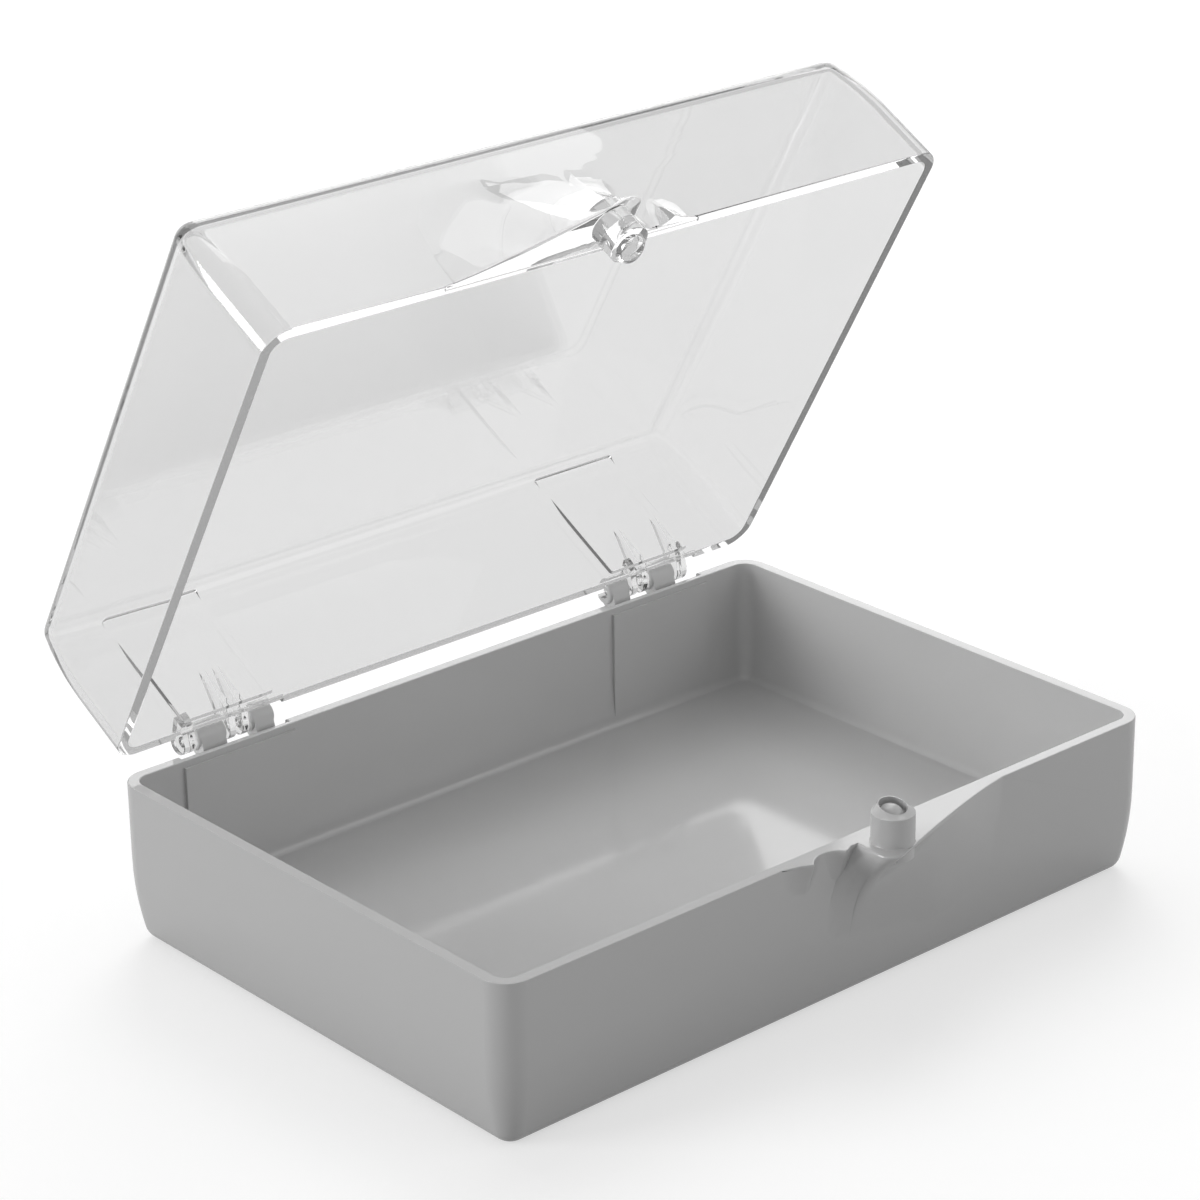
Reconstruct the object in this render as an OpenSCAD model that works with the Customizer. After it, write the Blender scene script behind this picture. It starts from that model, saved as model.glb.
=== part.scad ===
// Hinged retainer case: an opaque base tray and a clear lid, each moulded in one piece.
// The case stands open, as it does when it is set down on a shelf with the lid swung up.
// X runs along the hinge side, the clasp is on the -Y side and Z points up.
// The origin is the middle of the base's flat underside.

/* [Case] */
// Length of the case along the hinge side
case_length = 90; // [80:1:105]
// Width of the case from the clasp wall to the hinge wall
case_width = 62; // [54:1:72]
// Height of the base from its underside to its rim
base_height = 18.2; // [17:0.1:26]
// Depth of the lid from its rim to its outer face
lid_depth = 17.4; // [14:0.1:24]
// Wall thickness of both halves
wall = 1.3; // [1.1:0.1:1.6]
// Radius of the four upright corners, seen from above
corner_r = 3; // [2.9:0.1:5]
// How far the lid is swung open from closed, in degrees
lid_open = 60.5; // [0:0.5:180]

/* [Lower curve of the walls] */
// Height above the underside at which the walls start to curve inwards
curve_start = 9.6; // [8.5:0.1:10.5]
// Radius of that large curve
curve_r = 35; // [30:1:60]
// Radius of the small round along the bottom edge
edge_r = 2; // [1.6:0.1:2.2]

/* [Floor] */
// Height of the flat middle of the base's floor above its underside
floor_mid = 2.7; // [2:0.1:3]
// Height of the crease where the base's floor meets its walls
floor_edge = 3.6; // [3.2:0.1:4.2]
// Distance over which the floor curves up towards a wall
dish_run = 9; // [6:0.5:12]
// Thickness of the lid's panel
panel = 1.3; // [1.1:0.1:1.6]

/* [Hinges] */
// Distance from the middle of the case to the middle of each hinge
hinge_x = 30; // [28:0.5:32]
// Distance of the hinge axis outside the hinge wall
axis_out = 1.65; // [1.6:0.05:2]
// Height of the hinge axis above the rim
axis_up = 0.6; // [0.4:0.05:0.8]
// Radius of the knuckles and lugs
knuckle_r = 1.3; // [1.2:0.05:1.3]
// Radius of the hinge pins moulded on the lid
pin_r = 0.6; // [0.5:0.05:0.65]
// Clearance all round a pin in its bore
pin_gap = 0.05; // [0.03:0.01:0.08]
// Side gap between a knuckle and a lug
side_gap = 0.3; // [0.25:0.05:0.4]

/* [Clasp] */
// Distance from the middle of the case to the axis of each clasp post
post_x = 3.6; // [3.4:0.1:4]
// Distance of the post's axis outside the clasp wall
post_out = 2.65; // [2.5:0.05:2.8]
// Radius of a post
post_r = 2.25; // [2:0.05:2.3]
// How far a post stands beyond its own rim
post_h = 4.3; // [3.5:0.05:4.5]
// Clearance between a post and the seat in the other half
seat_gap = 0.3; // [0.3:0.05:0.5]
// Distance from the middle of the case to the thin end of the thumb shelf
shelf_end = 23.5; // [20:0.5:26]
// Reach of the thumb shelf's curve at the middle of the case
shelf_out = 6.9; // [6.6:0.1:7.2]

/* [Hidden] */
// Parts of the file that can be drawn on their own

// Facets of full circles, and of the arcs that are drawn point by point
$fn = 64;
arc_steps = 10;

// Distances from the middle of the case to the centres of its upright corners
corner_x = case_length / 2 - corner_r;
corner_y = case_width / 2 - corner_r;

// Depth by which a piece added to a wall is sunk into it
sink = wall / 2;

// Hinge axis in the frame of the case
hinge_y = case_width / 2 + axis_out;
hinge_z = base_height + axis_up;

// Widths of the hinge pieces along the axis
knuckle_outer_w = 3.8;
knuckle_inner_w = 3.1;
lug_w = 0.9;
lug_end_w = 1.5;
// Distances from the middle of a hinge to its two knuckles
knuckle_outer_dx = 0.3;
knuckle_inner_dx = 2.9;
// Hinge pieces, as spans measured from the middle of the case
knuckle_outer = [hinge_x + knuckle_outer_dx, hinge_x + knuckle_outer_dx + knuckle_outer_w];
knuckle_inner = [hinge_x - knuckle_inner_dx - knuckle_inner_w, hinge_x - knuckle_inner_dx];
lug_outer = [knuckle_outer[1] + side_gap, knuckle_outer[1] + side_gap + lug_end_w];
lug_mid = [knuckle_outer[0] - side_gap - lug_w, knuckle_outer[0] - side_gap];
lug_inner = [knuckle_inner[1] + side_gap, knuckle_inner[1] + side_gap + lug_w];
// The inner pin stops a little short of its knuckle's far end
stub_end = knuckle_inner[0] + 0.6;
// Both pins end inside their lugs
pin_in = 0.3;
bore_r = pin_r + pin_gap;
// The slot through which a pin snaps into its bore is a little narrower than the pin
slot_h = 1.7 * pin_r;
// Rounding of a knuckle's ends
knuckle_edge = 0.35;
// Gussets that carry the hinge pieces on the outside of the wall
gusset_w = 0.8;
gusset_h = 6.6;
// Far ends of the feet of knuckles and lugs, and how near they come to the rim
knuckle_foot = 2.6;
lug_foot = 2.4;
foot_top = 0.5;
lug_top = 0.4;
// The outer half of the rim is set back along each hinge
relief_w = 14;
relief_h = 0.4;
// Play between the two rims when the case is closed
rim_gap = 0.1;

// Thickened pads on the inside of the wall behind the hinges: width and thickness
base_pad = [14.5, 0.35];
lid_pad = [11.8, 0.5];
// Distance from the rim to the pads, and how far they are sunk into the floor or panel
pad_top = 0.75;
pad_sink = 0.5;

// Seat for the post of the other half: a hollow between two teeth
seat_r = post_r + seat_gap;
tooth_out = 1.3;
tooth_dx = sqrt(seat_r * seat_r - (post_out - tooth_out) * (post_out - tooth_out));
tooth_foot = 2.3;
seat_fade = 4.2;

// How far a flare is drawn back into the wall, and how far its top stays below the rim plane
flare_in = 0.08;
flush_gap = 0.03;
// Depth inside the wall at which the outline of a flare ends
foot_in = 0.1;

// Thumb shelf: its outline bends, its tip is rounded and its flank fades into the wall
shelf_bend = 1.3;
flank_lean = 5;
tip_x = 2.2;
tip_r = 1.4;
tip_slope = shelf_out * shelf_bend / shelf_end * pow((shelf_end - tip_x) / shelf_end, shelf_bend - 1);
tip_turn = atan(1 / tip_slope);
tip_c = [tip_x - tip_r * cos(tip_turn), shelf_reach(tip_x) - tip_r * sin(tip_turn)];

// Post: chamfered head with a blind hole and a domed nub in it
chamfer_h = 1.1;
head_r = post_r - 0.65;
hole_r = head_r - 0.25;
hole_h = 1;
nub_r = hole_r - 0.2;
nub_h = 0.75;
dome_r = (nub_r * nub_r + nub_h * nub_h) / (2 * nub_h);
// The drilled head leans and sits a little towards the front
head_tilt = 12;
head_dy = 0.15;
// The foot of a post goes down into its shelf
post_root = 1.5;

// Span of a gusset in the middle of a hinge piece
function centred(span) =
    let (mid = (span[0] + span[1]) / 2)
    [mid - gusset_w / 2, mid + gusset_w / 2];

function shelf_reach(x) = shelf_out * pow((shelf_end - x) / shelf_end, shelf_bend);

// Points of an arc from angle a to angle b
function arc(c, r, a, b, n) = [for (i = [0:n]) c + r * [cos(a + (b - a) * i / n), sin(a + (b - a) * i / n)]];

// Angle through which the large curve turns before the small round takes over
function wall_turn() = asin((curve_start - edge_r) / (curve_r - edge_r));

// Cross-section of a wall with its strip of floor, as seen at an upright corner:
// the first number is the distance outwards from the corner's centre, the second the height
function wall_section(h, edge) =
    let (
        big = [corner_r - curve_r, curve_start],
        turn = wall_turn(),
        small = big + (curve_r - edge_r) * [cos(turn), -sin(turn)],
        inner_r = curve_r - wall,
        crease = asin((curve_start - edge) / inner_r)
    )
    concat(
        [[corner_r, h]],
        arc(big, curve_r, 0, -turn, 6),
        arc(small, edge_r, -turn - 6, -90, arc_steps),
        [[0, 0], [0, edge]],
        arc(big, inner_r, -crease, 0, 6),
        [[corner_r - wall, h]]
    );

// An open tray: four corners, four walls and the floor between them
module tray(h, edge) {
    section = wall_section(h, edge);
    for (turn = [0, 90, 180, 270]) {
        sx = turn == 0 || turn == 270 ? 1 : -1;
        sy = turn < 180 ? 1 : -1;
        translate([sx * corner_x, sy * corner_y, 0])
            rotate([0, 0, turn])
                rotate_extrude(angle = 90, $fn = 48)
                    polygon(section);
    }
    for (turn = [0, 180])
        rotate([0, 0, turn]) {
            translate([0, corner_y, 0])
                rotate([90, 0, 90])
                    linear_extrude(height = 2 * corner_x, center = true)
                        polygon(section);
            translate([corner_x, 0, 0])
                rotate([90, 0, 0])
                    linear_extrude(height = 2 * corner_y, center = true)
                        polygon(section);
        }
    translate([-corner_x, -corner_y, 0])
        cube([2 * corner_x, 2 * corner_y, edge]);
}

// Hollow of the dished floor: two curved troughs that cross, with the corners rounded
module dish() {
    inner_r = curve_r - wall;
    reach = corner_r - curve_r + sqrt(inner_r * inner_r - pow(curve_start - floor_edge, 2));
    dish_h = floor_edge - floor_mid;
    dish_r = (dish_run * dish_run + dish_h * dish_h) / (2 * dish_h);
    half_x = corner_x + reach;
    half_y = corner_y + reach;
    intersection() {
        rotate([90, 0, 0])
            linear_extrude(height = case_width, center = true)
                trough(half_x, dish_r);
        rotate([90, 0, 90])
            linear_extrude(height = case_length, center = true)
                trough(half_y, dish_r);
        union() {
            cube([2 * half_x, 2 * corner_y, base_height], center = true);
            cube([2 * corner_x, 2 * half_y, base_height], center = true);
            for (sx = [-1, 1])
                for (sy = [-1, 1])
                    translate([sx * corner_x, sy * corner_y, 0])
                        cylinder(r = reach, h = base_height, center = true, $fn = 48);
        }
    }
}

// Outline of one trough: flat in the middle, curving up at both ends
module trough(half, r) {
    swing = asin(dish_run / r);
    right = arc([half - dish_run, floor_mid + r], r, -90, -90 + swing, 8);
    top = floor_edge + 1;
    polygon(concat(
        right,
        [[half, top], [-half, top]],
        [for (i = [8:-1:0]) [-right[i][0], right[i][1]]]
    ));
}

// How far the outer face of a wall of height h has curved inwards at a depth below its rim
function wall_inset(h, depth) =
    let (below = max(0, curve_start - (h - depth)))
    curve_r - sqrt(curve_r * curve_r - below * below);

// Stack of level sections that fills the corner between the clasp wall and a ledge at its rim.
// Each level keeps its own share of the outline's reach and starts from the wall's own curve,
// a little inside it, so that the stack runs out into the wall. The first feet points of the
// outline have a foot of their own inside the wall, and the rest share the last of these feet.
// With a lean, the foot of the outline's far flank moves sideways as the stack goes down.
module flare(outline, feet, h, levels, shares, lean = 0) {
    ring = concat(outline, [for (i = [feet - 1:-1:0]) [outline[i][0], -sink]]);
    o = len(outline);
    n = len(ring);
    m = len(levels);
    points = [
        for (k = [0:m - 1])
            let (face = wall_inset(h, levels[k]) - case_width / 2)
            for (p = ring)
                let (
                    flank = p[0] < tip_x ? max(0, 1 - max(0, p[1]) / tip_c[1]) : 0,
                    x = p[0] - lean * flank * levels[k] / levels[m - 1],
                    y = face + (p[1] > 0 ? flare_in - p[1] * shares[k] : -p[1])
                )
                [x, y, -levels[k] - flush_gap]
    ];
    sides = [
        for (k = [0:m - 2])
            for (i = [0:n - 1])
                let (j = (i + 1) % n, a = k * n, b = (k + 1) * n)
                for (f = [[a + i, b + j, a + j], [a + i, b + i, b + j]]) f
    ];
    cap = concat(
        [for (i = [0:feet - 2]) for (f = [[i, i + 1, n - 1 - i], [i + 1, n - 2 - i, n - 1 - i]]) f],
        [for (i = [feet - 1:o - 2]) if (i + 1 < n - feet) [i, i + 1, n - feet]]
    );
    floor_cap = [for (f = cap) [for (i = [2, 1, 0]) (m - 1) * n + f[i]]];
    polyhedron(points, concat(cap, sides, floor_cap));
}

// Thumb shelf level with the rim of a half of height h, in front of the clasp wall
module shelf(h) {
    straight = h - curve_start;
    levels = concat(
        [0, 0.15, 0.35, 0.6, 1.2],
        [for (i = [1:4]) 1.2 + (straight - 1.2) * i / 4],
        [for (i = [1:4]) straight + curve_r * sin(wall_turn() * i / 6)]
    );
    fade = levels[12];
    shares = [for (d = levels) (1 - 0.05 * pow(max(0, 1 - d / 0.5), 2)) * pow(1 - d / fade, 1.5)];
    flare(
        concat(
            [[shelf_end, -foot_in]],
            [for (i = [1:12]) let (x = shelf_end + (tip_x - shelf_end) * i / 12) [x, shelf_reach(x)]],
            arc(tip_c, tip_r, tip_turn + 12, 180, 6),
            [[0.45, 3], [0.6, 1.8], [0.75, 0.6], [0.85, -sink]]
        ),
        13, h, levels, shares, flank_lean
    );
}

// Two teeth with the seat for the other half's post between them
module seat(h) {
    lean = asin((post_out - tooth_out) / seat_r);
    levels = [0, 0.2, 0.6, 1.4, 2.2, 3.2, seat_fade];
    shares = [for (d = levels) (1 - 0.08 * pow(max(0, 1 - d / 0.4), 2)) * (1 - d / seat_fade)];
    outline = concat(
        [[-post_x + tooth_dx + 1.3, -foot_in]],
        [[-post_x + tooth_dx + 1.1, 0.3], [-post_x + tooth_dx + 0.35, tooth_out]],
        arc([-post_x, post_out], seat_r, -lean, -180 + lean, 12),
        [[-post_x - tooth_dx - 0.5, tooth_out * 0.92], [-post_x - tooth_dx - tooth_foot, -foot_in]]
    );
    flare(outline, len(outline), h, levels, shares);
}

// Clasp post on the shelf, with its chamfered, drilled head
module post() {
    translate([post_x, -case_width / 2 - post_out, 0])
        difference() {
            union() {
                translate([0, 0, -post_root])
                    cylinder(r = post_r, h = post_root + post_h - chamfer_h);
                translate([0, 0, post_h - chamfer_h])
                    cylinder(r1 = post_r, r2 = head_r, h = chamfer_h);
            }
            translate([0, -head_dy, post_h])
                rotate([head_tilt, 0, 0])
                    difference() {
                        translate([0, 0, -hole_h])
                            cylinder(r = hole_r, h = hole_h + 1);
                        translate([0, 0, nub_h - hole_h - dome_r])
                            sphere(r = dome_r);
                    }
        }
}

// Shelf, post and seat of one half, with the rim plane at height zero
module clasp(h) {
    shelf(h);
    seat(h);
    post();
}

// Flat-sided piece seen along the hinge axis, spread over a span of x.
// Side 0 is the hinge at +X and side 1 its mirror image.
module across(span, sides = [0, 1]) {
    for (side = sides)
        mirror([side, 0, 0])
            translate([span[0], 0, 0])
                rotate([90, 0, 90])
                    linear_extrude(height = span[1] - span[0])
                        children();
}

// Round bar along the hinge axis, over a span of x on both hinges
module axis_bar(span, r) {
    for (side = [0, 1])
        mirror([side, 0, 0])
            translate([span[0], hinge_y, hinge_z])
                rotate([0, 90, 0])
                    cylinder(r = r, h = span[1] - span[0]);
}

// Pads of a given width and thickness inside the hinge wall, from height z0 to z1
module pads(size, z0, z1) {
    for (side = [-1, 1])
        translate([side * hinge_x - size[0] / 2, case_width / 2 - wall - size[1], z0])
            cube([size[0], size[1] + sink, z1 - z0]);
}

// Knuckle with rounded ends, the neck that joins it to the wall and the gusset below it
module knuckle(span) {
    w = span[1] - span[0];
    end_r = knuckle_r - knuckle_edge;
    for (side = [0, 1])
        mirror([side, 0, 0])
            translate([span[0], hinge_y, hinge_z])
                rotate([0, 90, 0])
                    rotate_extrude()
                        polygon(concat(
                            [[0, 0]],
                            arc([end_r, knuckle_edge], knuckle_edge, -90, 0, 4),
                            arc([end_r, w - knuckle_edge], knuckle_edge, 0, 90, 4),
                            [[0, w]]
                        ));
    across([span[0] + knuckle_edge, span[1] - knuckle_edge])
        bracket(-knuckle_foot, -foot_top);
    across(centred(span))
        bracket(-gusset_h, -foot_top);
}

// Side view of the material that carries a hinge piece: a foot on the wall, tangent to the
// round of the hinge piece. far and near are the ends of its foot, measured from the rim.
module bracket(far, near) {
    c = [hinge_y, hinge_z];
    wall_y = case_width / 2;
    dir = far < 0 ? 1 : -1;
    p = [wall_y, base_height + far];
    d = c - p;
    turn = atan2(abs(d[1]), d[0]) - asin(knuckle_r / norm(d));
    t = c + knuckle_r * [sin(turn), -dir * cos(turn)];
    q = [wall_y, base_height + near];
    e = c - q;
    turn_in = atan2(e[1], e[0]) + dir * asin(knuckle_r / norm(e));
    s = c + knuckle_r * [-sin(turn_in) * dir, cos(turn_in) * dir];
    polygon([[wall_y - sink, p[1]], p, t, c, s, q, [wall_y - sink, q[1]]]);
}

// Step in the outer half of a rim along both hinges, below or above the rim plane
module relief(z0) {
    for (side = [-1, 1])
        translate([side * hinge_x - relief_w / 2, case_width / 2 - wall / 2, z0])
            cube([relief_w, wall, relief_h]);
}

// Opaque base tray with its hinge knuckles, clasp post and seat
module base() {
    color([0.8, 0.8, 0.8])
        difference() {
            union() {
                difference() {
                    tray(base_height, floor_edge);
                    dish();
                    relief(base_height - relief_h);
                }
                pads(base_pad, floor_mid - pad_sink, base_height - pad_top);
                translate([0, 0, base_height])
                    clasp(base_height);
                knuckle(knuckle_outer);
                knuckle(knuckle_inner);
            }
            axis_bar([knuckle_outer[0] - 1, knuckle_outer[1] + 1], bore_r);
            axis_bar([knuckle_inner[0] - 1, knuckle_inner[1] + 1], bore_r);
            for (span = [knuckle_outer, knuckle_inner])
                across([span[0] - 1, span[1] + 1])
                    translate([hinge_y, hinge_z - slot_h / 2])
                        square([knuckle_r + 1, slot_h]);
        }
}

// Clear lid as it sits when the case is closed
module lid_closed() {
    rim_z = base_height + rim_gap;
    difference() {
        union() {
            translate([0, 0, rim_z + lid_depth])
                mirror([0, 0, 1])
                    tray(lid_depth, panel);
            pads(lid_pad, rim_z + pad_top, rim_z + lid_depth - panel + pad_sink);
        }
        relief(rim_z);
    }
    translate([0, 0, rim_z])
        rotate([0, 180, 0])
            clasp(lid_depth);
    for (span = [lug_outer, lug_mid, lug_inner]) {
        axis_bar(span, knuckle_r);
        across(span)
            bracket(lug_foot, lug_top);
    }
    across(centred(lug_mid), [0, 1])
        bracket(gusset_h, lug_top);
    across(centred(lug_outer), [0])
        bracket(gusset_h, lug_top);
    across(centred(lug_inner), [1])
        bracket(gusset_h, lug_top);
    axis_bar([lug_mid[0] + pin_in, lug_outer[1] - pin_in], pin_r);
    axis_bar([stub_end, lug_inner[1] - pin_in], pin_r);
}

// Clear lid, swung open about the hinge axis
module lid() {
    color([0.93, 0.95, 0.96, 0.35])
        translate([0, hinge_y, hinge_z])
            rotate([-lid_open, 0, 0])
                translate([0, -hinge_y, -hinge_z])
                    lid_closed();
}

base();
lid();
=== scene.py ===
# %% [markdown]
# # A hinged retainer case
# The real object is a small moulded box: an opaque grey tray and a clear lid, joined by two
# moulded hinges and held shut by a clasp. Each half leaves its mould in one piece, so each is
# one mesh here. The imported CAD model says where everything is. This lesson models both halves
# again with rounded edges and smooth curves, gives them their plastics and lights them.

# %% Load the frame
import bmesh
import bpy
import math
from mathutils import Matrix, Vector


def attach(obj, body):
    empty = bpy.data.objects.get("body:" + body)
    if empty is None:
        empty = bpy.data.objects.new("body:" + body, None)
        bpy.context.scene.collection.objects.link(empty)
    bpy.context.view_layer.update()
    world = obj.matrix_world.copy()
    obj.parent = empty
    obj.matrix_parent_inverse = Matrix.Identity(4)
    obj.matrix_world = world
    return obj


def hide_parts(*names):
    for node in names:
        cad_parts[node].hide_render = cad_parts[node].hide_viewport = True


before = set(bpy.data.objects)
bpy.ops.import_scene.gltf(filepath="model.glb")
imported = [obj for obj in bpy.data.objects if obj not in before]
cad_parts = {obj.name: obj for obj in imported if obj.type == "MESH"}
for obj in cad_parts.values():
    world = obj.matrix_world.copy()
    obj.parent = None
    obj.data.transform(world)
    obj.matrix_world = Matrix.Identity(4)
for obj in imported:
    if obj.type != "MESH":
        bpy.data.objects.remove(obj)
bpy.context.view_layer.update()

# %% [markdown]
# ## Small helpers
# Sizes are easier to read in millimetres, while Blender works in metres here. An operator acts
# on all that is selected, so everything is deselected before each new piece.

# %% Helpers
MM = 0.001


def clear_selection():
    if bpy.context.object and bpy.context.object.mode != "OBJECT":
        bpy.ops.object.mode_set(mode="OBJECT")
    bpy.ops.object.select_all(action="DESELECT")


def activate(piece):
    clear_selection()
    piece.select_set(True)
    bpy.context.view_layer.objects.active = piece


def edit(piece):
    activate(piece)
    bpy.ops.object.mode_set(mode="EDIT")


def edit_all(piece):
    edit(piece)
    bpy.ops.mesh.select_all(action="SELECT")


def leave_edit():
    bpy.ops.object.mode_set(mode="OBJECT")


def face_outwards(piece):
    edit_all(piece)
    bpy.ops.mesh.normals_make_consistent(inside=False)
    leave_edit()


def measure(piece):
    shape = bmesh.new()
    shape.from_mesh(piece.data)
    open_edges = sum(1 for e in shape.edges if not e.is_manifold)
    print(f"{piece.name}: {len(shape.faces)} faces, {shape.calc_volume() * 1e9:.0f} mm3, {open_edges} open edges")
    shape.free()


# %% [markdown]
# ## Sizes
# The case is 90 x 62 mm in plan. Both halves share that plan, so they share these numbers too.
# The walls are upright below the rim and then lean in along a very large curve, which is what
# lets such a half slip out of its mould.

# %% Sizes in mm
CASE_LENGTH, CASE_WIDTH = 90, 62
BASE_HEIGHT, LID_DEPTH = 18.2, 17.4
WALL, CORNER = 1.3, 3
CURVE_START, CURVE_RADIUS, EDGE_RADIUS = 9.6, 35, 2
FRONT, HINGE_WALL = -CASE_WIDTH / 2, CASE_WIDTH / 2
SINK = WALL / 2
LID_RIM = BASE_HEIGHT + 0.1
print("closed height in mm:", LID_RIM + LID_DEPTH)

# %% [markdown]
# ## An open tray from one plane
# A tray could be a box with a hollow cut out of it. Here it grows from a single plane, which
# keeps clean rings of faces all the way round. The plane gets round corners and an inset for
# the rim. The middle face then walks down the inside wall, one inset per step. An inset keeps
# its distance on all sides, so the round corners shrink evenly, as they do on the real wall.
# The same walk on the outside makes the outer wall and the round of the bottom edge.

# %% The two wall profiles, as (distance inwards, height)
def outer_profile(height):
    turn = math.asin((CURVE_START - EDGE_RADIUS) / (CURVE_RADIUS - EDGE_RADIUS))
    points = [(0, height), (0, CURVE_START)]
    for i in range(1, 7):
        a = turn * i / 6
        points.append((CURVE_RADIUS * (1 - math.cos(a)), CURVE_START - CURVE_RADIUS * math.sin(a)))
    centre = CURVE_RADIUS - (CURVE_RADIUS - EDGE_RADIUS) * math.cos(turn)
    first = turn + math.radians(6)
    for i in range(11):
        a = first + (math.pi / 2 - first) * i / 10
        points.append((centre - EDGE_RADIUS * math.cos(a), EDGE_RADIUS * (1 - math.sin(a))))
    return points


def inner_profile(height, crease, fillet):
    radius = CURVE_RADIUS - WALL
    last = math.asin((CURVE_START - crease - fillet) / radius)
    points = [(0, height), (0, CURVE_START)]
    for i in range(1, 6):
        a = last * i / 5
        points.append((radius * (1 - math.cos(a)), CURVE_START - radius * math.sin(a)))
    start = points[-1][0]
    for i in range(1, 7):
        a = last + (math.pi / 2 - last) * i / 6
        drop = (math.sin(a) - math.sin(last)) / (1 - math.sin(last))
        points.append((start + fillet * (math.cos(last) - math.cos(a)), crease + fillet * (1 - drop)))
    return points


print("wall leans in by", round(outer_profile(BASE_HEIGHT)[7][0], 2), "mm before the bottom round")

# %% [markdown]
# The floor of the grey tray is slightly dished: it curves down from the crease over 9 mm. The
# corner rounds are too small to survive an inset of 9 mm, so each is merged to a point when it
# has shrunk to almost nothing.

# %% Walk a face along a profile, then build the tray
def step_down(inwards, down, up_sign=1):
    if inwards < 1e-4:
        bpy.ops.mesh.extrude_region_move(TRANSFORM_OT_translate={"value": (0, 0, -down * MM)})
    else:
        bpy.ops.mesh.inset(thickness=inwards * MM, depth=-down * MM * up_sign)


def follow(profile, up_sign=1):
    for (inset0, z0), (inset1, z1) in zip(profile, profile[1:]):
        step_down(inset1 - inset0, z0 - z1, up_sign)


def follow_inside(profile, corner):
    """Follows a profile inwards. The corner rounds become points before they would turn over."""
    for (inset0, z0), (inset1, z1) in zip(profile, profile[1:]):
        if 0 < corner < inset1 - inset0 + 0.05:
            bpy.ops.mesh.remove_doubles(threshold=(3 * corner + 0.3) * MM)
            corner = 0
        step_down(inset1 - inset0, z0 - z1)
        corner = max(0, corner - (inset1 - inset0))
    return corner


def dish_profile(crease, middle, run=9):
    dip = crease - middle
    radius = (run * run + dip * dip) / (2 * dip)
    steps = [run * i / 8 for i in range(9)]
    return [(s, middle + radius - math.sqrt(radius**2 - (run - s) ** 2)) for s in steps]


def open_tray(name, height, crease, fillet, middle=None):
    clear_selection()
    bpy.ops.mesh.primitive_plane_add(size=1, location=(0, 0, 0))
    tray = bpy.context.object
    tray.name = name
    edit_all(tray)
    bpy.ops.transform.resize(value=(CASE_LENGTH * MM, CASE_WIDTH * MM, 1))
    bpy.ops.transform.translate(value=(0, 0, height * MM))
    bpy.ops.mesh.bevel(affect="VERTICES", offset=CORNER * MM, segments=12, profile=0.5)
    bpy.ops.mesh.select_all(action="SELECT")
    bpy.ops.mesh.inset(thickness=WALL * MM)
    corner = follow_inside(inner_profile(height, crease, fillet), CORNER - WALL)
    if middle is not None:
        follow_inside(dish_profile(crease, middle), corner)
    bpy.ops.mesh.select_all(action="DESELECT")
    bpy.ops.mesh.select_mode(type="EDGE")
    bpy.ops.mesh.select_non_manifold()
    bpy.ops.mesh.extrude_region_move(TRANSFORM_OT_translate={"value": (0, 0, (CURVE_START - height) * MM)})
    bpy.ops.mesh.edge_face_add()
    bpy.ops.mesh.select_mode(type="FACE")
    leave_edit()
    underside = [p for p in tray.data.polygons if p.select][0]
    looks_up = 1 if underside.normal.z > 0 else -1
    edit(tray)
    follow(outer_profile(height)[1:], looks_up)
    leave_edit()
    face_outwards(tray)
    measure(tray)
    return tray


# %% [markdown]
# ## Blocks, rods and booleans
# The clasp and the hinges stand on these trays. On the real case they are one body with the
# wall, so each is joined with an exact Boolean union. That matters most in the clear lid, where
# a face left inside the plastic would show.

# %% Simple solids and Booleans
def block(name, low, high):
    clear_selection()
    bpy.ops.mesh.primitive_cube_add(size=1)
    piece = bpy.context.object
    piece.name = name
    edit_all(piece)
    bpy.ops.transform.resize(value=[(b - a) * MM for a, b in zip(low, high)])
    bpy.ops.transform.translate(value=[(a + b) / 2 * MM for a, b in zip(low, high)])
    leave_edit()
    return piece


def soften(piece, width):
    edit_all(piece)
    bpy.ops.mesh.bevel(affect="EDGES", offset=width * MM, segments=2)
    leave_edit()
    return piece


def boolean(target, tool, operation):
    activate(target)
    modifier = target.modifiers.new(operation.lower(), "BOOLEAN")
    modifier.object = tool
    modifier.operation = operation
    modifier.solver = "EXACT"
    bpy.ops.object.modifier_apply(modifier=modifier.name)
    bpy.data.objects.remove(tool)


def add(target, tool):
    boolean(target, tool, "UNION")


def cut(target, tool):
    boolean(target, tool, "DIFFERENCE")


def select_faces(piece, test):
    """Selects in edit mode the faces whose normal passes the test."""
    leave_edit()
    for part in (piece.data.vertices, piece.data.edges):
        part.foreach_set("select", [False] * len(part))
    for face in piece.data.polygons:
        face.select = bool(test(face.normal))
    bpy.ops.object.mode_set(mode="EDIT")
    bpy.ops.mesh.select_mode(type="FACE")


# %% [markdown]
# ## Thumb shelf and toothed seat
# A thumb lifts the lid at a shelf level with the rim. Beside it two small teeth make a seat for
# the post of the other half. Both forms run out smoothly into the wall below, like a ship's bow.
# Each starts as a flat grid in the rim plane. One row of its points lies inside the wall, and
# the other follows the outline. The grid is then extruded down, and at each level its outline
# keeps a smaller share of its reach. A fade lets it shrink faster near the shelf's tip.

# %% A ribbon that shrinks into the wall as it is extruded down
FLARE_IN = 0.1
TIP_X, TIP_RADIUS = 2.2, 1.4


def wall_inset(height, depth):
    below = max(0, CURVE_START - (height - depth))
    return CURVE_RADIUS - math.sqrt(CURVE_RADIUS**2 - below**2)


def arc(cx, cy, radius, start, end, steps):
    angles = [math.radians(start + (end - start) * i / steps) for i in range(steps + 1)]
    return [(cx + radius * math.cos(a), cy + radius * math.sin(a)) for a in angles]


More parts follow.
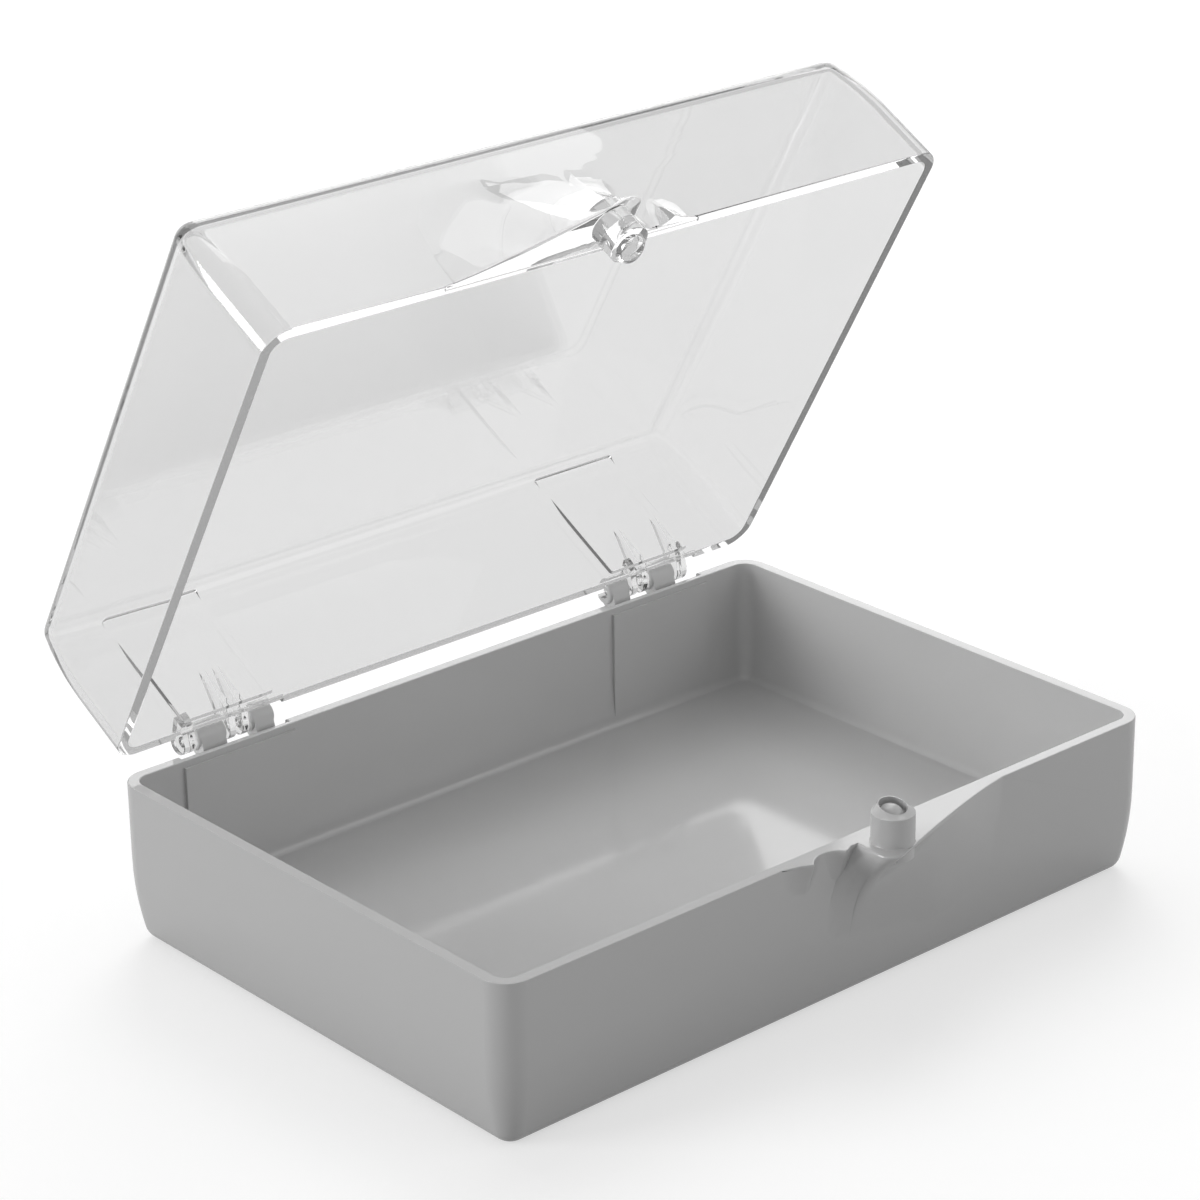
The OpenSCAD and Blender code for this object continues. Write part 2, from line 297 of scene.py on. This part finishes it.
def ribbon(name, outline, feet):
    clear_selection()
    bpy.ops.mesh.primitive_grid_add(x_subdivisions=len(outline) - 1, y_subdivisions=1, size=2)
    strip = bpy.context.object
    strip.name = name
    columns = sorted({round(v.co.x, 5) for v in strip.data.vertices}, reverse=True)
    for v in strip.data.vertices:
        x, out = (outline if v.co.y < 0 else feet)[columns.index(round(v.co.x, 5))]
        v.co = (x * MM, (FRONT - out) * MM, 0)
    return strip


def flare(name, outline, feet, height, levels, shares, lean=0, far=1, fade=0):
    piece = ribbon(name, outline, feet)
    home = [(v.co.x / MM, FRONT - v.co.y / MM) for v in piece.data.vertices]
    tag = piece.data.attributes.new("home", "INT", "POINT")
    tag.data.foreach_set("value", range(len(home)))
    previous = 0
    for level, share in zip(levels, shares):
        if level == 0:
            edit_all(piece)
        else:
            edit(piece)
            bpy.ops.mesh.extrude_region_move(TRANSFORM_OT_translate={"value": (0, 0, (previous - level) * MM)})
        leave_edit()
        previous = level
        wall = FRONT + wall_inset(height, level)
        homes = piece.data.attributes["home"].data
        for v in [v for v in piece.data.vertices if v.select]:
            x, out = home[homes[v.index].value]
            near_tip = min(1, max(0, 1 - (x - TIP_X) / 10))
            kept = share * (1 - level / levels[-1]) ** (fade * near_tip)
            y = wall + (FLARE_IN - out * kept if out > 0 else -out)
            if lean and x < TIP_X:
                x -= lean * max(0, 1 - max(0, out) / far) * (level / levels[-1]) ** 0.75
            v.co.x, v.co.y = x * MM, y * MM
    piece.data.attributes.remove(piece.data.attributes["home"])
    face_outwards(piece)
    return piece


# %% [markdown]
# The shelf reaches 6.9 mm out at the middle and thins to nothing 23.5 mm along the wall, with a
# slight hollow in its edge and a rounded tip.

# %% Thumb shelf
SHELF_END, SHELF_OUT, SHELF_BEND = 23.5, 6.9, 1.3


def shelf_reach(x):
    return SHELF_OUT * ((SHELF_END - x) / SHELF_END) ** SHELF_BEND


def thumb_shelf(height):
    slope = SHELF_OUT * SHELF_BEND / SHELF_END * ((SHELF_END - TIP_X) / SHELF_END) ** (SHELF_BEND - 1)
    turn = math.degrees(math.atan(1 / slope))
    tip_x = TIP_X - TIP_RADIUS * math.cos(math.radians(turn))
    tip_out = shelf_reach(TIP_X) - TIP_RADIUS * math.sin(math.radians(turn))
    edge = [SHELF_END + (TIP_X - SHELF_END) * i / 16 for i in range(1, 17)]
    outline = [(SHELF_END, -0.1)] + [(x, shelf_reach(x)) for x in edge]
    flank = arc(tip_x, tip_out, TIP_RADIUS, turn + 12, 180, 7)
    flank += [(0.45, 3), (0.6, 1.8), (0.75, 0.6), (0.85, -0.1)]
    feet = [(x, -SINK) for x, out in outline]
    feet += [(TIP_X + (0.85 - TIP_X) * (i + 1) / len(flank), -SINK) for i in range(len(flank))]
    straight = height - CURVE_START
    turned = math.asin((CURVE_START - EDGE_RADIUS) / (CURVE_RADIUS - EDGE_RADIUS))
    levels = [0, 0.15, 0.35, 0.6, 1.2] + [1.2 + (straight - 1.2) * i / 5 for i in range(1, 6)]
    levels += [straight + CURVE_RADIUS * math.sin(turned * i / 6) for i in range(1, 5)]
    shares = [(1 - 0.05 * max(0, 1 - d / 0.5) ** 2) * (1 - d / levels[-1]) ** 1.2 * 0.985 for d in levels]
    return flare("thumb_shelf", outline + flank, feet, height, levels, shares, 7, tip_out, fade=1.4)


# %% [markdown]
# The hollow between the two teeth is an arc round the axis of the other half's post, with
# 0.3 mm to spare all round.

# %% Toothed seat
POST_X, POST_OUT, POST_R, POST_H = 3.6, 2.65, 2.25, 4.3
TOOTH_OUT = 1.3


def toothed_seat(height):
    seat_r = POST_R + 0.3
    half = math.sqrt(seat_r**2 - (POST_OUT - TOOTH_OUT) ** 2)
    lean = math.degrees(math.asin((POST_OUT - TOOTH_OUT) / seat_r))
    near, end = -POST_X + half, -POST_X - half
    outline = [(near + 3.4, -0.1), (near + 3.2, 0.8), (near + 1.2, 0.85), (near + 0.35, TOOTH_OUT)]
    outline += arc(-POST_X, POST_OUT, seat_r, -lean, -180 + lean, 14)
    outline += [(end - 0.4, TOOTH_OUT * 0.94), (end - 1.2, 0.72), (end - 2.2, 0.4), (end - 3.8, -0.1)]
    feet = [(x, 0.1 - SINK) for x, out in outline]
    levels = [0, 0.25, 0.7, 1.5, 2.3, 3.3, 4.2]
    shares = [(1 - 0.08 * max(0, 1 - d / 0.4) ** 2) * (1 - d / 4.2) for d in levels]
    return flare("toothed_seat", outline, feet, height, levels, shares)


# %% [markdown]
# ## Clasp post
# The post is a short round pillar with a chamfered head. Its top has a shallow blind hole with a
# low dome in it, the trace of the mould's core pin, and both lean a little towards the front.

# %% Clasp post
CHAMFER, HEAD_R = 1.1, POST_R - 0.65
HOLE_DEPTH, HEAD_TILT = 0.85, 15


def clasp_post():
    clear_selection()
    stem = POST_H + 1.5 - CHAMFER
    bpy.ops.mesh.primitive_cylinder_add(vertices=64, radius=POST_R * MM, depth=stem * MM)
    post = bpy.context.object
    post.name = "clasp_post"
    edit_all(post)
    bpy.ops.transform.translate(value=(0, 0, (stem / 2 - 1.5) * MM))
    select_faces(post, lambda n: n.z > 0.9)
    bpy.ops.mesh.inset(thickness=0.15 * MM, depth=0.08 * MM)
    bpy.ops.mesh.extrude_region_move(TRANSFORM_OT_translate={"value": (0, 0, (CHAMFER - 0.08) * MM)})
    head_share = HEAD_R / (POST_R - 0.15)
    bpy.ops.transform.resize(value=(head_share, head_share, 1))
    bpy.ops.mesh.inset(thickness=0.12 * MM, depth=0.04 * MM)
    bpy.ops.mesh.extrude_region_move(TRANSFORM_OT_translate={"value": (0, 0, -HOLE_DEPTH * MM)})
    bpy.ops.mesh.inset(thickness=0.12 * MM)
    radius, rise, last = HEAD_R - 0.24, 0.8, 0
    ball = (radius**2 + rise**2) / (2 * rise)
    for i in range(1, 8):
        ring = radius * (1 - i / 8)
        z = math.sqrt(ball**2 - ring**2) - (ball - rise)
        bpy.ops.mesh.inset(thickness=radius / 8 * MM, depth=(z - last) * MM)
        last = z
    leave_edit()
    lean = Matrix.Rotation(math.radians(HEAD_TILT), 4, "X")
    back = Vector((0, HEAD_R * MM, POST_H * MM))
    for v in post.data.vertices:
        if v.co.z > (POST_H - CHAMFER + 0.1) * MM or v.co.xy.length < (HEAD_R - 0.1) * MM and v.co.z > 0:
            v.co = lean @ (v.co - back) + back - Vector((0, 0, 0.1 * MM))
    post.data.transform(Matrix.Translation((POST_X * MM, (FRONT - POST_OUT) * MM, 0)))
    return post


# %% [markdown]
# ## Hinge pieces
# Each hinge is a row of short round pieces on one axis, 1.65 mm outside the wall. Two snap-open
# knuckles belong to the tray. Three lugs and the pins between them belong to the lid. Every
# piece stands on a tapered foot that leaves the round as a tangent, with a thin gusset below.

# %% Rods and tapered feet
HINGE_X = 30
HINGE_Y, HINGE_Z = HINGE_WALL + 1.65, BASE_HEIGHT + 0.6
KNUCKLE_R, PIN_R, PIN_GAP = 1.3, 0.6, 0.05
GUSSET = 0.8


def rod(name, radius, x0, x1, facets=48, round_mm=0):
    clear_selection()
    bpy.ops.mesh.primitive_cylinder_add(vertices=facets, radius=radius * MM, depth=(x1 - x0) * MM)
    piece = bpy.context.object
    piece.name = name
    edit(piece)
    if round_mm:
        select_faces(piece, lambda n: abs(n.z) > 0.9)
        bpy.ops.mesh.bevel(affect="EDGES", offset=round_mm * MM, segments=4)
    leave_edit()
    piece.data.transform(Matrix.Rotation(math.radians(90), 4, "Y"))
    piece.data.transform(Matrix.Translation(((x0 + x1) / 2 * MM, HINGE_Y * MM, HINGE_Z * MM)))
    return piece


def tangent_foot(height, outer_side):
    """Where a line from the wall at this height touches the round, and where it starts inside."""
    foot, centre = Vector((HINGE_WALL, BASE_HEIGHT + height)), Vector((HINGE_Y, HINGE_Z))
    reach = centre - foot
    spread = math.asin(KNUCKLE_R / reach.length)
    angle = math.atan2(reach.y, reach.x) + (-spread if outer_side else spread)
    touch = foot + Vector((math.cos(angle), math.sin(angle))) * math.sqrt(reach.length**2 - KNUCKLE_R**2)
    slope = (touch.y - foot.y) / (touch.x - foot.x)
    return touch, foot.y - slope * SINK


def tapered_foot(span, far, near):
    low, high = min(far, near), max(far, near)
    piece = block("foot", (span[0], HINGE_WALL - SINK, BASE_HEIGHT + low), (span[1], HINGE_Y, BASE_HEIGHT + high))
    downwards = far < 0
    ends = {far: tangent_foot(far, downwards), near: tangent_foot(near, not downwards)}
    middle_z = (BASE_HEIGHT + (low + high) / 2) * MM
    for v in piece.data.vertices:
        touch, inside = ends[low if v.co.z < middle_z else high]
        if v.co.y > HINGE_WALL * MM:
            v.co.y, v.co.z = touch.x * MM, touch.y * MM
        else:
            v.co.z = inside * MM
    return piece


def thin(span):
    middle = sum(span) / 2
    return middle - GUSSET / 2, middle + GUSSET / 2


def mirrored(piece):
    copy = piece.copy()
    copy.data = piece.data.copy()
    bpy.context.scene.collection.objects.link(copy)
    edit_all(copy)
    bpy.ops.transform.mirror(constraint_axis=(True, False, False), center_override=(0, 0, 0))
    leave_edit()
    face_outwards(copy)
    return copy


# %% [markdown]
# ## The grey tray
# Everything comes together: the rim is set back along each hinge, a thin pad thickens the wall
# inside each hinge, and the clasp and the knuckles join the wall. The knuckles are bored for the
# lid's pins, and a slot lets the pins snap in.

# %% Assemble the tray
OUTER_KNUCKLE, INNER_KNUCKLE = (30.3, 34.1), (24.0, 27.1)


def grey_tray():
    tray = open_tray("base_tray", BASE_HEIGHT, 3.6, 0.8, 2.7)
    for x in (-HINGE_X, HINGE_X):
        step_low = (x - 7, HINGE_WALL - SINK, BASE_HEIGHT - 0.4)
        cut(tray, block("step", step_low, (x + 7, HINGE_WALL + 1, BASE_HEIGHT + 1)))
        pad_low = (x - 7.25, HINGE_WALL - WALL - 0.35, 2.2)
        add(tray, block("pad", pad_low, (x + 7.25, HINGE_WALL - SINK, BASE_HEIGHT - 0.75)))
    for piece in (clasp_post(), thumb_shelf(BASE_HEIGHT), toothed_seat(BASE_HEIGHT)):
        piece.data.transform(Matrix.Translation((0, 0, BASE_HEIGHT * MM)))
        add(tray, piece)
    for span in (OUTER_KNUCKLE, INNER_KNUCKLE):
        knuckle = rod("knuckle", KNUCKLE_R, *span, round_mm=0.35)
        add(knuckle, tapered_foot((span[0] + 0.35, span[1] - 0.35), -2.6, -0.5))
        add(knuckle, tapered_foot(thin(span), -6.6, -0.5))
        cut(knuckle, rod("bore", PIN_R + PIN_GAP, span[0] - 1, span[1] + 1, 32))
        slot_low = (span[0] - 1, HINGE_Y, HINGE_Z - 0.85 * PIN_R)
        cut(knuckle, block("slot", slot_low, (span[1] + 1, HINGE_Y + 3, HINGE_Z + 0.85 * PIN_R)))
        other = mirrored(knuckle)
        add(tray, knuckle)
        add(tray, other)
    measure(tray)
    return tray


base_tray = grey_tray()

# %% [markdown]
# ## The clear lid
# The lid is the same kind of tray turned upside down. Its clasp is the tray's clasp turned half
# round, so each post meets the other half's seat. It is built closed and then swung open by
# 60.5 degrees about the hinge axis, as the photo shows it.

# %% Assemble the lid
OUTER_LUG, MIDDLE_LUG, INNER_LUG = (34.4, 35.9), (29.1, 30.0), (27.4, 28.3)
LID_OPEN = 60.5


def hinge_side(right):
    """The lugs and pins of one hinge. Only some lugs carry a gusset, as in the photo."""
    pieces = []
    for span in (OUTER_LUG, MIDDLE_LUG, INNER_LUG):
        lug = rod("lug", KNUCKLE_R, *span, round_mm=0.12)
        add(lug, tapered_foot(span, 2.4, 0.4))
        if span == MIDDLE_LUG or (span == OUTER_LUG) == right:
            add(lug, tapered_foot(thin(span), 6.6, 0.4))
        pieces.append(lug)
    pieces.append(rod("pin", PIN_R, MIDDLE_LUG[0] + 0.3, OUTER_LUG[1] - 0.3, 32))
    pieces.append(rod("stub", PIN_R, INNER_KNUCKLE[0] + 0.6, INNER_LUG[1] - 0.3, 32))
    if right:
        return pieces
    left = [mirrored(piece) for piece in pieces]
    for piece in pieces:
        bpy.data.objects.remove(piece)
    return left


def clear_cover():
    lid = open_tray("clear_lid", LID_DEPTH, WALL, 1.1)
    lid.data.transform(Matrix.Rotation(math.pi, 4, "X"))
    lid.data.transform(Matrix.Translation((0, 0, (LID_RIM + LID_DEPTH) * MM)))
    for x in (-HINGE_X, HINGE_X):
        pad_low = (x - 5.9, HINGE_WALL - WALL - 0.5, LID_RIM + 0.75)
        pad = block("pad", pad_low, (x + 5.9, HINGE_WALL - SINK, LID_RIM + LID_DEPTH - 0.8))
        add(lid, soften(pad, 0.35))
        step_low = (x - 7, HINGE_WALL - SINK, LID_RIM - 1)
        cut(lid, block("step", step_low, (x + 7, HINGE_WALL + 1, LID_RIM + 0.4)))
    for piece in (clasp_post(), thumb_shelf(LID_DEPTH), toothed_seat(LID_DEPTH)):
        piece.data.transform(Matrix.Rotation(math.pi, 4, "Y"))
        piece.data.transform(Matrix.Translation((0, 0, LID_RIM * MM)))
        add(lid, piece)
    for piece in hinge_side(True) + hinge_side(False):
        add(lid, piece)
    axis = Matrix.Translation((0, HINGE_Y * MM, HINGE_Z * MM))
    swing = axis @ Matrix.Rotation(math.radians(-LID_OPEN), 4, "X") @ axis.inverted()
    return lid, swing


clear_lid, lid_swing = clear_cover()
measure(clear_lid)

# %% [markdown]
# ## Rounded rims and smooth shading
# A polished mould still leaves a tiny round on each rim. It is only 0.15 mm, but it catches a
# thin line of light all round the tray and draws the edges of the clear lid. Faces that meet at
# less than 30 degrees are shaded as one curved surface, and weighted normals keep the flat
# walls flat next to the curved ones.

# %% Round the rims and smooth the curves
def round_rim(piece, rim_z, width_mm):
    clear_selection()
    shape = bmesh.new()
    shape.from_mesh(piece.data)
    shape.normal_update()
    chosen = set()
    for e in shape.edges:
        level = all(abs(v.co.z / MM - rim_z) < 0.01 for v in e.verts)
        if level and len(e.link_faces) == 2 and e.calc_face_angle() > math.radians(50):
            chosen.add(e.index)
    shape.free()
    edit(piece)
    bpy.ops.mesh.select_all(action="DESELECT")
    bpy.ops.mesh.select_mode(type="EDGE")
    leave_edit()
    for e in piece.data.edges:
        e.select = e.index in chosen
    edit(piece)
    bpy.ops.mesh.bevel(affect="EDGES", offset=width_mm * MM, segments=2, clamp_overlap=False)
    leave_edit()
    print(piece.name, "rim edges rounded:", len(chosen))


def finish_shape(piece):
    edit_all(piece)
    bpy.ops.mesh.dissolve_limited(angle_limit=math.radians(0.3))
    leave_edit()


for piece, rim_z in ((base_tray, BASE_HEIGHT), (clear_lid, LID_RIM)):
    finish_shape(piece)
    round_rim(piece, rim_z, 0.15)
clear_lid.data.transform(lid_swing)
for piece in (base_tray, clear_lid):
    activate(piece)
    bpy.ops.object.shade_smooth_by_angle(angle=math.radians(30))
    weighted = piece.modifiers.new("weighted normals", "WEIGHTED_NORMAL")
    weighted.keep_sharp = True
    bpy.ops.object.modifier_apply(modifier=weighted.name)
    measure(piece)

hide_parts("base")
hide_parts("lid")
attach(base_tray, "base")
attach(clear_lid, "lid")

# %% [markdown]
# ## Light grey polystyrene
# The tray is moulded in opaque grey plastic from a polished mould, so it is smooth with a clear
# gloss. A slow noise varies the tone and the gloss a little, as handling does, and a fine one
# gives the surface the slight waviness of moulded plastic.

# %% Grey plastic
def new_material(name):
    material = bpy.data.materials.new(name)
    material.use_nodes = True
    return material, material.node_tree.nodes, material.node_tree.links


def grey_polystyrene():
    material, nodes, links = new_material("grey_polystyrene")
    shader = nodes["Principled BSDF"]
    shader.inputs["IOR"].default_value = 1.55
    place = nodes.new("ShaderNodeTexCoord")
    cloud = nodes.new("ShaderNodeTexNoise")
    cloud.inputs["Scale"].default_value = 45
    cloud.inputs["Detail"].default_value = 3
    links.new(place.outputs["Object"], cloud.inputs["Vector"])
    tone = nodes.new("ShaderNodeMix")
    tone.data_type = "RGBA"
    tone.inputs[6].default_value = (0.535, 0.535, 0.535, 1)
    tone.inputs[7].default_value = (0.555, 0.555, 0.555, 1)
    links.new(cloud.outputs["Fac"], tone.inputs[0])
    links.new(tone.outputs[2], shader.inputs["Base Color"])
    gloss = nodes.new("ShaderNodeMapRange")
    gloss.inputs["To Min"].default_value = 0.07
    gloss.inputs["To Max"].default_value = 0.13
    links.new(cloud.outputs["Fac"], gloss.inputs["Value"])
    links.new(gloss.outputs["Result"], shader.inputs["Roughness"])
    wave = nodes.new("ShaderNodeTexNoise")
    wave.inputs["Scale"].default_value = 160
    links.new(place.outputs["Object"], wave.inputs["Vector"])
    bump = nodes.new("ShaderNodeBump")
    bump.inputs["Strength"].default_value = 0.05
    bump.inputs["Distance"].default_value = 0.0002
    links.new(wave.outputs["Fac"], bump.inputs["Height"])
    links.new(bump.outputs["Normal"], shader.inputs["Normal"])
    return material


base_tray.data.materials.clear()
base_tray.data.materials.append(grey_polystyrene())

# %% [markdown]
# ## Clear polystyrene
# The lid is water-clear with an index of refraction of 1.59, so its edges bend what is behind
# them. A glass shader stops the rays that come from lamps, so a Light Path switch lets them
# through: the tray below is then lit through the lid as in a real studio. Light that enters at
# the thin rim bounces along inside the wall many times. After a few bounces it is let out a
# little weaker, or the rim would turn black where real plastic is a soft grey.

# %% Clear plastic
TRAPPED_AFTER = 2.5


def clear_polystyrene():
    material, nodes, links = new_material("clear_polystyrene")
    shader = nodes["Principled BSDF"]
    shader.inputs["Base Color"].default_value = (0.97, 0.97, 0.97, 1)
    shader.inputs["Transmission Weight"].default_value = 1
    shader.inputs["IOR"].default_value = 1.59
    shader.inputs["Roughness"].default_value = 0.015
    path = nodes.new("ShaderNodeLightPath")
    trapped = nodes.new("ShaderNodeMath")
    trapped.operation = "GREATER_THAN"
    trapped.inputs[1].default_value = TRAPPED_AFTER
    links.new(path.outputs["Glossy Depth"], trapped.inputs[0])
    surface = shader.outputs["BSDF"]
    for chosen, tint in ((trapped.outputs[0], 0.65), (path.outputs["Is Shadow Ray"], 0.94)):
        passing = nodes.new("ShaderNodeBsdfTransparent")
        passing.inputs["Color"].default_value = (tint, tint, tint, 1)
        switch = nodes.new("ShaderNodeMixShader")
        links.new(chosen, switch.inputs[0])
        links.new(surface, switch.inputs[1])
        links.new(passing.outputs["BSDF"], switch.inputs[2])
        surface = switch.outputs["Shader"]
    links.new(surface, nodes["Material Output"].inputs["Surface"])
    return material


clear_lid.data.materials.clear()
clear_lid.data.materials.append(clear_polystyrene())

# %% [markdown]
# ## Floor and backdrop
# The photo shows the case on plain white. A big pale floor catches a soft shadow. Where the
# camera sees it directly it shines white, and through the clear lid or in a reflection it stays
# a little darker, as a real studio sweep does.

# %% Floor and backdrop
def brighter_when_seen(nodes, links, direct, indirect):
    """A strength that is direct for camera rays and indirect in reflections and through glass."""
    path = nodes.new("ShaderNodeLightPath")
    seen = nodes.new("ShaderNodeMath")
    seen.operation = "MAXIMUM"
    links.new(path.outputs["Is Glossy Ray"], seen.inputs[0])
    links.new(path.outputs["Is Transmission Ray"], seen.inputs[1])
    pale = nodes.new("ShaderNodeMath")
    pale.operation = "MULTIPLY"
    pale.inputs[1].default_value = indirect
    links.new(seen.outputs[0], pale.inputs[0])
    white = nodes.new("ShaderNodeMath")
    white.operation = "MULTIPLY"
    white.inputs[1].default_value = direct
    links.new(path.outputs["Is Camera Ray"], white.inputs[0])
    most = nodes.new("ShaderNodeMath")
    most.operation = "MAXIMUM"
    links.new(pale.outputs[0], most.inputs[0])
    links.new(white.outputs[0], most.inputs[1])
    return most.outputs[0]


def studio_floor_material():
    material, nodes, links = new_material("studio_white")
    shader = nodes["Principled BSDF"]
    shader.inputs["Base Color"].default_value = (0.5, 0.5, 0.5, 1)
    shader.inputs["Roughness"].default_value = 0.9
    shader.inputs["Specular IOR Level"].default_value = 0
    shine = nodes.new("ShaderNodeEmission")
    links.new(brighter_when_seen(nodes, links, 0.56, 0.295), shine.inputs["Strength"])
    both = nodes.new("ShaderNodeAddShader")
    links.new(shader.outputs["BSDF"], both.inputs[0])
    links.new(shine.outputs["Emission"], both.inputs[1])
    links.new(both.outputs["Shader"], nodes["Material Output"].inputs["Surface"])
    return material


clear_selection()
bpy.ops.mesh.primitive_plane_add(size=6, location=(0, 0, 0))
floor = bpy.context.object
floor.name = "studio_floor"
floor.data.materials.append(studio_floor_material())

world = bpy.data.worlds.new("studio")
bpy.context.scene.world = world
world.use_nodes = True
sky, sky_links = world.node_tree.nodes, world.node_tree.links
ambient = sky.new("ShaderNodeMath")
ambient.operation = "MAXIMUM"
ambient.inputs[1].default_value = 0.37
sky_links.new(brighter_when_seen(sky, sky_links, 1.0, 0.6), ambient.inputs[0])
sky_links.new(ambient.outputs[0], sky["Background"].inputs["Strength"])
sky["Background"].inputs["Color"].default_value = (1, 1, 1, 1)

# %% [markdown]
# ## Lights
# The main soft lamp stands high behind the right corner, and a second one behind the left end.
# The side towards the camera gets little light, which is why the front of the tray is its
# darkest face.

# %% Lights
def soft_lamp(name, place, size, watts, roll=0, mirrored=True):
    data = bpy.data.lights.new(name, "AREA")
    data.shape = "SQUARE"
    data.size = size
    data.energy = watts
    lamp = bpy.data.objects.new(name, data)
    lamp.location = place
    aim = (Vector((0, 0, 0.02)) - Vector(place)).to_track_quat("-Z", "Y").to_matrix()
    lamp.rotation_euler = (aim @ Matrix.Rotation(math.radians(roll), 3, "Z")).to_euler()
    lamp.visible_glossy = mirrored
    lamp.visible_transmission = False
    bpy.context.scene.collection.objects.link(lamp)
    print(name, watts, "W")


soft_lamp("lamp_back_right", (0.582, 0.582, 0.893), 0.5, 2.7, mirrored=False)
soft_lamp("softbox_back_right", (0.289, 0.543, 0.912), 0.89, 3.1, roll=27)
soft_lamp("lamp_back_left", (-1.036, 0.518, 0.331), 0.5, 6.0)
soft_lamp("lamp_low_right", (0.68, 0.63, 0.4), 0.6, 2.0)
soft_lamp("lamp_front_right", (0.692, -0.865, 0.481), 1.0, 2.5)

# %% [markdown]
# ## Camera
# The camera was solved from the straight edges of the case in the photo: a long lens from the
# front left, about 0.4 m away and a little above.

# %% Camera
camera_data = bpy.data.cameras.new("camera")
camera_data.lens = 114.97
camera_data.sensor_width = 36
camera = bpy.data.objects.new("camera", camera_data)
camera.location = (-0.24407, -0.27179, 0.18796)
camera.rotation_euler = [math.radians(a) for a in (67.2675, 0.6722, -41.5932)]
bpy.context.scene.collection.objects.link(camera)
bpy.context.scene.camera = camera
bpy.context.scene.view_settings.view_transform = "Standard"
